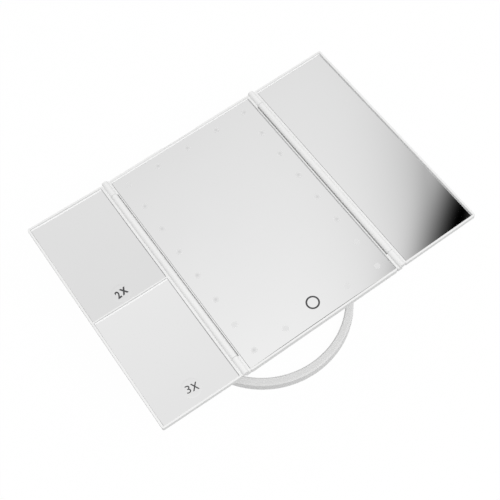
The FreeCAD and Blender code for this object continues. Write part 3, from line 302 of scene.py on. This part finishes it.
def rubber(name, colour, roughness=0.75):
    """Rubber or foam: dull, mottled and faintly grained."""
    shader = Shader(name)
    tone = shader.noise(size=4 * MM, detail=5.0)
    shader.colour(tone, low=tinted(colour, 0.85), high=tinted(colour, 1.15))
    shader.roughness(tone, low=roughness, high=roughness * 1.12)
    shader.bump(shader.noise(size=0.5 * MM, detail=3.0), 0.05 * MM)
    return shader.material


def circuit(name, colour):
    """Lacquered board: copper tracks show as slightly lighter lines."""
    track_pitch = 9 * MM
    track_width = 0.03
    shader = Shader(name)
    tracks = shader.add("ShaderNodeTexBrick")
    tracks.inputs["Scale"].default_value = 1 / track_pitch
    tracks.inputs["Mortar Size"].default_value = track_width
    tracks.inputs["Color1"].default_value = (*colour, 1)
    tracks.inputs["Color2"].default_value = (*tinted(colour, 0.94), 1)
    tracks.inputs["Mortar"].default_value = (*tinted(colour, 1.5), 1)
    shader.link(shader.coordinates, tracks.inputs["Vector"])
    shader.feed("Base Color", tracks.outputs["Color"])
    shader.roughness(shader.noise(size=3 * MM), low=0.3, high=0.45)
    shader.bump(tracks.outputs["Fac"], 0.03 * MM)
    return shader.material


def frosted():
    """Etched glass over a light: the silver fades into a pale grey disc, darker over the chip.

    The first map coordinate runs from the middle to the rim, the second says if the chip shows; it
    shows only in windows where light falls on it, so that choice is painted light.
    """
    shader = Shader("etched_window")
    place = shader.add("ShaderNodeSeparateXYZ")
    shader.link(shader.add("ShaderNodeUVMap").outputs["UV"], place.inputs["Vector"])

    def greys(stops):
        return shader.ramp(place.outputs["X"], [(at, (grey, grey, grey)) for at, grey in stops])

    mix = shader.add("ShaderNodeMix", data_type="RGBA")
    shader.link(place.outputs["Y"], mix.inputs["Factor"])
    shader.link(greys(PLAIN_GREYS), mix.inputs["A"])
    shader.link(greys(CHIP_GREYS), mix.inputs["B"])
    shader.feed("Base Color", mix.outputs["Result"])
    shader.feed("Metallic", greys(WINDOW_SILVERING))
    shader.roughness(shader.noise(size=3 * MM), low=0.03, high=0.05)
    return shader.material


def clear_film():
    """Clear film on the silver, a shade duller than the glass round it."""
    shader = Shader("clear_film")
    shader.set(Metallic=1.0)
    shader.roughness(shader.noise(size=8 * MM), low=0.03, high=0.05)
    shader.colour(shader.noise(size=9 * MM), *FILM_GREYS)
    return shader.material


WHITE = (0.865, 0.865, 0.862)
LOOKS = {
    "white_shell": plastic("white_moulding", WHITE, 0.34),
    "white_wing": plastic("white_wing_moulding", WHITE, 0.34),
    "bracket_plastic": plastic("bracket_moulding", (0.80, 0.80, 0.795), 0.5, grain=0.6 * MM, depth=0.03 * MM),
    "plane_mirror": mirror("silvered_glass", (0.93, 0.93, 0.93)),
    "curved_mirror": mirror("dished_silvered_glass", (0.90, 0.90, 0.90)),
    "light_board": plastic("white_board", (0.80, 0.80, 0.78), 0.45),
    "light_chip": plastic("phosphor", (0.90, 0.78, 0.42), 0.4, 0.05, 0.4 * MM, 0.02 * MM),
    "key_foam": rubber("conductive_foam", (0.03, 0.03, 0.032), 0.85),
    "steel": metal("turned_steel", (0.58, 0.58, 0.59), 0.28),
    "cell_wrap": metal("cell_sleeve", (0.60, 0.62, 0.64), 0.3, (12, 1, 1)),
    "contact_metal": metal("nickelled_strip", (0.72, 0.70, 0.66), 0.2, (1, 12, 1)),
    "circuit_board": circuit("green_board", (0.02, 0.16, 0.06)),
    "washer_plastic": plastic("washer_plastic", (0.03, 0.03, 0.032), 0.4, 0.08, 0.5 * MM, 0.02 * MM),
    "adhesive": rubber("foam_tape", (0.62, 0.62, 0.60), 0.9),
    "weight_iron": metal("oiled_steel", (0.16, 0.16, 0.17), 0.45),
    "sole_rubber": rubber("grey_rubber", (0.20, 0.20, 0.205)),
    "foot_rubber": rubber("black_rubber", (0.03, 0.03, 0.03)),
}
# The second look is a painted highlight: the ground edge toward +Y is painted lighter than the rest.
GLASS_EDGES = (plastic("ground_edge", (0.72, 0.73, 0.73), 0.6, 0.05),
               plastic("ground_edge_painted_highlight", (0.94, 0.94, 0.94), 0.6, 0.01),
               # The third look is painted shade: dark strips for the shade along the -X and -Y edges.
               plastic("painted_shade_strip", (0.18, 0.185, 0.185), 0.5, 0.05))


def dress_nodes():
    """Give every CAD node the material of its slot."""
    for item in frame["record"]["subparts"]:
        node = nodes[item["node"]]
        node.data.materials.clear()
        node.data.materials.append(LOOKS[item["material_slot"]])


# ---------------------------------------------------------------- mesh helpers

def add_piece(name, mesh, material, body):
    """A new piece that rides on a body and takes the material it is given."""
    piece = bpy.data.objects.new(name, mesh)
    scene.collection.objects.link(piece)
    mesh.materials.append(material)
    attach(piece, body)
    return piece


def mesh_from(builder, name):
    """The builder's faces as a mesh that shades smooth but for its sharp edges."""
    mesh = bpy.data.meshes.new(name)
    builder.to_mesh(mesh)
    builder.free()
    mesh.polygons.foreach_set("use_smooth", [True] * len(mesh.polygons))
    mesh.set_sharp_from_angle(angle=SHARP_ANGLE)
    return mesh


def corners_of(points):
    """The lowest and the highest corner of a set of points."""
    low = Vector(min(point[axis] for point in points) for axis in range(3))
    high = Vector(max(point[axis] for point in points) for axis in range(3))
    return low, high


def disc(builder, centre, radii, heights, sides=32):
    """Rings of points round a centre, joined from the inner one out; radii start above zero."""
    rings = []
    for radius, height in zip(radii, heights):
        ring = []
        for index in range(sides):
            turn = 2 * math.pi * index / sides
            at = Vector((radius * math.cos(turn), radius * math.sin(turn), height))
            ring.append(builder.verts.new(centre + at))
        rings.append(ring)
    for inner, outer in zip(rings, rings[1:]):
        for index in range(sides):
            after = (index + 1) % sides
            builder.faces.new((inner[index], outer[index], outer[after], inner[after]))
    return rings


def surface_of(piece):
    """A finder of the height of a piece's upper surface at a place."""
    mesh = bpy.data.objects[piece].data
    points = [vert.co for vert in mesh.vertices]
    faces = [face.vertices for face in mesh.polygons]
    tree = BVHTree.FromPolygons(points, faces)

    def height(x, y):
        hit = tree.ray_cast(Vector((x, y, 1.0)), Vector((0, 0, -1)))
        return hit[0].z
    return height


# ---------------------------------------------------------------- mouldings

def refine(node, body, slot):
    """A copy of a CAD node whose edges are softened as a moulding's are, in place of the node."""
    builder = bmesh.new()
    builder.from_mesh(nodes[node].data)
    bmesh.ops.remove_doubles(builder, verts=builder.verts, dist=WELD)
    bmesh.ops.dissolve_limit(builder, angle_limit=FLAT_ANGLE, verts=builder.verts, edges=builder.edges)
    mesh = mesh_from(builder, f"{node}_moulded")
    piece = add_piece(f"{node}_moulded", mesh, LOOKS[slot], body)
    soften = piece.modifiers.new("soft_edges", "BEVEL")
    soften.width = SOFT_EDGE
    soften.segments = SOFT_SEGMENTS
    soften.limit_method = "ANGLE"
    soften.angle_limit = SOFT_ANGLE
    soften.use_clamp_overlap = True
    soften.harden_normals = True
    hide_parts(node)


# ---------------------------------------------------------------- panes of silvered glass

def make_pane(node, body, turn, thickness, bevel, radius=None, grow=0.0, columns=1, rows=1,
              shade_strips=(HAIR, HAIR), bow=0.0):
    """Glass silvered on its back, in place of a node.

    The silver shows below the face, with the ground edges of the glass standing round it; the edge
    toward +Y is ground to a bevel and painted lighter than the others, a painted highlight. The silver
    stops short of the glass by dark strips toward -X and -Y, painted shade that stands for the shade
    along those edges, and the second is wider by the bow near its middle.
    """
    swing = Matrix.Rotation(turn, 4, "Y")
    low, high = corners_of([swing.inverted() @ vert.co for vert in nodes[node].data.vertices])
    middle = (low + high) / 2
    reach = (high - low) / 2 + Vector((grow, grow, 0))
    dip = radius - math.sqrt(radius ** 2 - reach.x ** 2 - reach.y ** 2) if radius else 0.0
    builder = bmesh.new()

    def sheet(inset, sink, strips=(0, 0, 0, 0), bow=0.0):
        """A grid of points sunk below the pane's face.

        It is inset from the pane's outline, and further by the strips toward -X, +X, -Y and +Y.
        """
        grid = []
        start = Vector((strips[0] + inset - reach.x, strips[2] + inset - reach.y))
        end = Vector((reach.x - inset - strips[1], reach.y - inset - strips[3]))
        for row in range(rows + 1):
            line = []
            for column in range(columns + 1):
                x = start.x + (end.x - start.x) * column / columns
                near = start.y + bow * (1 - ((column / columns - BOW_MIDDLE) / BOW_REACH) ** 2)
                y = near + (end.y - near) * row / rows
                z = high.z - sink
                if radius:
                    curve = radius + sink
                    z += radius - dip - math.sqrt(curve ** 2 - x ** 2 - y ** 2) + sink
                line.append(builder.verts.new(swing @ Vector((middle.x + x, middle.y + y, z))))
            grid.append(line)
        return grid

    def fill(grid, up):
        """Faces over a grid."""
        for row in range(rows):
            for column in range(columns):
                corners = [grid[row][column], grid[row][column + 1],
                           grid[row + 1][column + 1], grid[row + 1][column]]
                builder.faces.new(corners if up else corners[::-1])

    rim = [(0, column) for column in range(columns)]
    rim += [(row, columns) for row in range(rows)]
    rim += [(rows, column) for column in range(columns, 0, -1)]
    rim += [(row, 0) for row in range(rows, 0, -1)]

    def wall(upper, lower, look, highlight_look=None):
        """Faces that join the outlines of two grids; those toward +Y may take another look, a painted
        highlight.
        """
        for index, (row, column) in enumerate(rim):
            next_row, next_column = rim[(index + 1) % len(rim)]
            face = builder.faces.new((upper[row][column], lower[row][column],
                                      lower[next_row][next_column], upper[next_row][next_column]))
            face.material_index = highlight_look if highlight_look and row == next_row == rows else look

    silver = sheet(EDGE_INSET, SILVER_DEPTH, (shade_strips[0], HAIR, shade_strips[1], bevel + HAIR), bow)
    foot = sheet(EDGE_INSET, SILVER_DEPTH, (0, 0, 0, bevel))
    lip = sheet(EDGE_INSET, 0)
    brim = sheet(0, 0)
    back = sheet(0, thickness)
    fill(silver, up=True)
    fill(back, up=False)
    # dark strips of painted shade between the silver and the glass toward -X and -Y
    wall(silver, foot, PAINTED_SHADE_STRIP)
    # the ground edge toward +Y takes the painted highlight, lighter than the other edges
    wall(foot, lip, GROUND, GROUND_PAINTED_HIGHLIGHT)
    wall(lip, brim, GROUND)
    wall(brim, back, GROUND)
    for grid in (foot, lip, brim):
        for row in range(1, rows):
            for column in range(1, columns):
                builder.verts.remove(grid[row][column])
    name = f"{node}_silvered"
    look = "curved_mirror" if radius else "plane_mirror"
    pane = add_piece(name, mesh_from(builder, name), LOOKS[look], body)
    for edge in GLASS_EDGES:
        pane.data.materials.append(edge)
    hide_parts(node)


def make_panes():
    """The centre mirror, the right wing's mirror and the two magnifying mirrors."""
    make_pane("centre_glass", "mirror", 0, GLASS_THICKNESS, GLASS_BEVEL, grow=GLASS_GROWTH,
              columns=CENTRE_COLUMNS, shade_strips=CENTRE_SHADE_STRIPS, bow=CENTRE_BOW)
    make_pane("right_mirror", "right_wing", RIGHT_TURN, GLASS_THICKNESS, GLASS_BEVEL, grow=GLASS_GROWTH,
              shade_strips=RIGHT_SHADE_STRIPS)
    for name, radius in LENS_RADII.items():
        make_pane(name, "left_wing", LEFT_TURN, LENS_THICKNESS, LENS_BEVEL, radius,
                  columns=LENS_COLUMNS, rows=LENS_ROWS)


# ---------------------------------------------------------------- light windows and touch key

def light_places():
    """The middle of every window, first down the two sides and then along the two ends."""
    places = []
    for row in range(LIGHT_ROWS):
        y = LIGHT_Y * (1 - 2 * row / (LIGHT_ROWS - 1))
        places += [(-LIGHT_X, y), (LIGHT_X, y)]
    for x in (-LIGHT_X / 2, 0, LIGHT_X / 2):
        places.append((x, LIGHT_Y))
        if x:
            places.append((x, -LIGHT_Y))
    return [Vector((x, y, SILVER)) + OFF_LIGHTS for x, y in places]


def make_light_windows():
    """Etched discs on the silver of the centre mirror."""
    builder = bmesh.new()
    layer = builder.loops.layers.uv.new("radial")
    radii = [WINDOW_RADIUS * share for share in WINDOW_RINGS]
    heights = [STANDS_PROUD] * len(radii)
    for index, place in enumerate(light_places()):
        count = len(builder.faces)
        rings = disc(builder, place, radii, heights)
        builder.faces.new(rings[0])
        builder.faces.ensure_lookup_table()
        for face in builder.faces[count:]:
            for loop in face.loops:
                away = (loop.vert.co - place).xy.length / WINDOW_RADIUS
                # painted light: the chip's darker core only in windows where light falls on the chip
                loop[layer].uv = (away, 0.0 if index in UNLIT_CHIP_WINDOWS else 1.0)
    add_piece("light_windows", mesh_from(builder, "light_windows"), frosted(), "mirror")


def make_touch_ring():
    """The printed ring round the touch key."""
    ink = plastic("ring_ink", (0.06, 0.06, 0.063), 0.45, 0.1)
    builder = bmesh.new()
    inner = KEY_RADIUS - KEY_LINE
    radii = [inner, inner + KEY_SLOPE, KEY_RADIUS - KEY_SLOPE, KEY_RADIUS]
    disc(builder, KEY_CENTRE, radii, [0, STANDS_PROUD, STANDS_PROUD, 0], sides=KEY_SIDES)
    add_piece("touch_ring", mesh_from(builder, "touch_ring"), ink, "mirror")


# ---------------------------------------------------------------- numerals and their films

def glyph(character, size, weight):
    """A character as a flat mesh about its own middle, size wide and high."""
    curve = bpy.data.curves.new(f"glyph_{character}", "FONT")
    curve.body = character
    curve.size = 1.0
    curve.offset = weight
    flat = bpy.data.objects.new(curve.name, curve)
    scene.collection.objects.link(flat)
    bpy.context.view_layer.update()
    mesh = bpy.data.meshes.new_from_object(flat.evaluated_get(bpy.context.evaluated_depsgraph_get()))
    bpy.data.objects.remove(flat)
    low, high = corners_of([vert.co for vert in mesh.vertices])
    for vert in mesh.vertices:
        for axis in (0, 1):
            vert.co[axis] = ((vert.co[axis] - low[axis]) / (high[axis] - low[axis]) - 0.5) * size[axis]
    return mesh


def make_numeral(name, glyphs, tilt, material, glass):
    """Printed characters, laid on the dished glass."""
    builder = bmesh.new()
    turn = Matrix.Rotation(tilt, 4, "Z")
    above = surface_of(glass)
    for character, middle, size, weight in glyphs:
        mesh = glyph(character, size, weight)
        mesh.transform(Matrix.Translation((*middle, 0)) @ turn)
        builder.from_mesh(mesh)
    bmesh.ops.triangulate(builder, faces=builder.faces)
    for vert in builder.verts:
        vert.co.z = above(vert.co.x, vert.co.y) + MARK_PROUD
    mesh = bpy.data.meshes.new(name)
    builder.to_mesh(mesh)
    builder.free()
    add_piece(name, mesh, material, "left_wing")


def make_film(name, centre, material, glass):
    """A round film, laid on the dished glass, whose rim lies lower than the rest."""
    builder = bmesh.new()
    radii = [FILM_HEART] + [FILM_RADIUS * share for share in FILM_RINGS]
    rings = disc(builder, Vector(centre), radii, [0.0] * len(radii), sides=FILM_SIDES)
    builder.faces.new(rings[0])
    above = surface_of(glass)
    for ring in rings:
        proud = FILM_RIM_PROUD if ring is rings[-1] else FILM_PROUD
        for vert in ring:
            vert.co.z = above(vert.co.x, vert.co.y) + proud
    add_piece(name, mesh_from(builder, name), material, "left_wing")


def make_marks():
    """The two magnifications, each on its clear film."""
    ink = plastic("numeral_ink", (0.055, 0.055, 0.058), 0.5, 0.12)
    film = clear_film()
    for name, (tilt, glyphs) in NUMERALS.items():
        middle = (Vector(glyphs[0][1]) + Vector(glyphs[1][1])) / 2
        make_film(f"film_{name}", (*middle, 0), film, f"lens_{name}_silvered")
        make_numeral(f"numeral_{name}", glyphs, tilt, ink, f"lens_{name}_silvered")


# ---------------------------------------------------------------- stage

def feed(tree, socket, value):
    """Give a socket a number, or link it to the output of a node."""
    if isinstance(value, (int, float)):
        socket.default_value = value
    else:
        tree.links.new(value, socket)


def calculate(tree, operation, *values):
    """The result of a sum with numbers or outputs of nodes."""
    node = tree.nodes.new("ShaderNodeMath")
    node.operation = operation
    for socket, value in zip(node.inputs, values):
        feed(tree, socket, value)
    return node.outputs[0]


def mix_shaders(tree, share, first, second):
    """The first shader, with a share of the second in its place."""
    mix = tree.nodes.new("ShaderNodeMixShader")
    tree.links.new(share, mix.inputs["Fac"])
    tree.links.new(first, mix.inputs[1])
    tree.links.new(second, mix.inputs[2])
    return mix.outputs[0]


def make_floor():
    """A floor that bounces light as a grey one does, and looks white to the camera and in gloss."""
    material = bpy.data.materials.new("pale_floor")
    material.use_nodes = True
    tree = material.node_tree
    tree.nodes.clear()
    plain = tree.nodes.new("ShaderNodeBsdfDiffuse")
    plain.inputs["Color"].default_value = FLOOR_COLOUR
    glow = tree.nodes.new("ShaderNodeEmission")
    glow.inputs["Strength"].default_value = FLOOR_GLOW
    rays = tree.nodes.new("ShaderNodeLightPath").outputs
    share = calculate(tree, "MULTIPLY", rays["Is Camera Ray"], FLOOR_SEEN)
    for ray in ("Is Glossy Ray", "Is Transmission Ray"):
        reflected = calculate(tree, "MULTIPLY", rays[ray], FLOOR_REFLECTED)
        share = calculate(tree, "MAXIMUM", share, reflected)
    out = tree.nodes.new("ShaderNodeOutputMaterial")
    tree.links.new(mix_shaders(tree, share, plain.outputs[0], glow.outputs[0]), out.inputs["Surface"])
    material.cycles.emission_sampling = "NONE"      # it lights nothing, so no rays are spent on it
    bpy.ops.mesh.primitive_plane_add(size=FLOOR_SIZE, location=(0, 0, 0))
    floor = bpy.context.active_object
    floor.name = "floor"
    floor.data.materials.append(material)


def make_world():
    """Surroundings that are white to the camera and even, with a slight slope, as light on matt surfaces.

    In gloss they grade along Y and fall off to a dark screen with a softer margin round it.
    """
    world = bpy.data.worlds.new("studio")
    scene.world = world
    world.use_nodes = True
    tree = world.node_tree
    tree.nodes.clear()
    direction_seen = tree.nodes.new("ShaderNodeTexCoord").outputs["Generated"]

    def along(direction, start, reach):
        """How far the direction seen lies along another one, from start, in units of reach."""
        dot = tree.nodes.new("ShaderNodeVectorMath")
        dot.operation = "DOT_PRODUCT"
        tree.links.new(direction_seen, dot.inputs[0])
        dot.inputs[1].default_value = direction
        return calculate(tree, "DIVIDE", calculate(tree, "SUBTRACT", dot.outputs["Value"], start), reach)

    def shade(centre, reach, turn, power, depth):
        """A soft oval of directions that takes away up to depth of the light."""
        side = (math.cos(turn), math.sin(turn), 0)
        length = (-math.sin(turn), math.cos(turn), 0)
        squares = []
        for way, size in zip((side, length), reach):
            start = centre[0] * way[0] + centre[1] * way[1]
            offset = along(way, start, size)
            squares.append(calculate(tree, "MULTIPLY", offset, offset))
        radius = calculate(tree, "POWER", calculate(tree, "ADD", *squares), power / 2)
        fall = calculate(tree, "EXPONENT", calculate(tree, "MULTIPLY", radius, -1.0))
        return calculate(tree, "SUBTRACT", 1.0, calculate(tree, "MULTIPLY", fall, depth))

    def background(strength):
        """White surroundings of a strength."""
        node = tree.nodes.new("ShaderNodeBackground")
        node.inputs["Color"].default_value = (1, 1, 1, 1)
        feed(tree, node.inputs["Strength"], strength)
        return node.outputs[0]

    grade = tree.nodes.new("ShaderNodeMapRange")
    grade.inputs["To Min"].default_value = GRADE_BRIGHTEST
    grade.inputs["To Max"].default_value = GRADE_DARKEST
    from_middle = calculate(tree, "ABSOLUTE", along((0, 1, 0), GRADE_MIDDLE, GRADE_REACH))
    tree.links.new(from_middle, grade.inputs["Value"])
    dark = calculate(tree, "MULTIPLY", shade(**SCREEN), shade(**MARGIN))
    reflected = calculate(tree, "MULTIPLY", dark, grade.outputs["Result"])
    fill = along(FILL_SLOPE, -FILL_LEVEL, 1.0)

    rays = tree.nodes.new("ShaderNodeLightPath").outputs
    light = mix_shaders(tree, rays["Is Glossy Ray"], background(fill), background(reflected))
    seen = mix_shaders(tree, rays["Is Camera Ray"], light, background(1.0))
    out = tree.nodes.new("ShaderNodeOutputWorld")
    tree.links.new(seen, out.inputs["Surface"])


def make_lamp():
    """A broad disc of light high in front, which neither the camera nor the mirrors see."""
    lamp = bpy.data.lights.new("key", "AREA")
    lamp.shape = "DISK"
    lamp.size = LAMP_SIZE
    lamp.energy = LAMP_POWER
    light = bpy.data.objects.new("key", lamp)
    scene.collection.objects.link(light)
    light.location = LAMP_PLACE
    way = Vector(LAMP_TARGET) - Vector(LAMP_PLACE)
    light.rotation_euler = way.to_track_quat("-Z", "Y").to_euler()
    light.visible_glossy = False
    light.visible_camera = False


def make_camera():
    """High at the front left, as the photograph was taken."""
    lens = bpy.data.cameras.new("view")
    lens.lens = CAMERA_LENS
    lens.sensor_width = CAMERA_SENSOR
    lens.clip_end = CAMERA_REACH
    camera = bpy.data.objects.new("camera", lens)
    scene.collection.objects.link(camera)
    camera.location = CAMERA_PLACE
    camera.rotation_euler = Euler([math.radians(angle) for angle in CAMERA_TURN], "XYZ")
    scene.camera = camera


make_camera()
make_world()
make_floor()
make_lamp()
scene.view_settings.view_transform = "Standard"

dress_nodes()
for name, body, slot in MOULDINGS:
    refine(name, body, slot)
make_panes()
make_light_windows()
make_touch_ring()
make_marks()
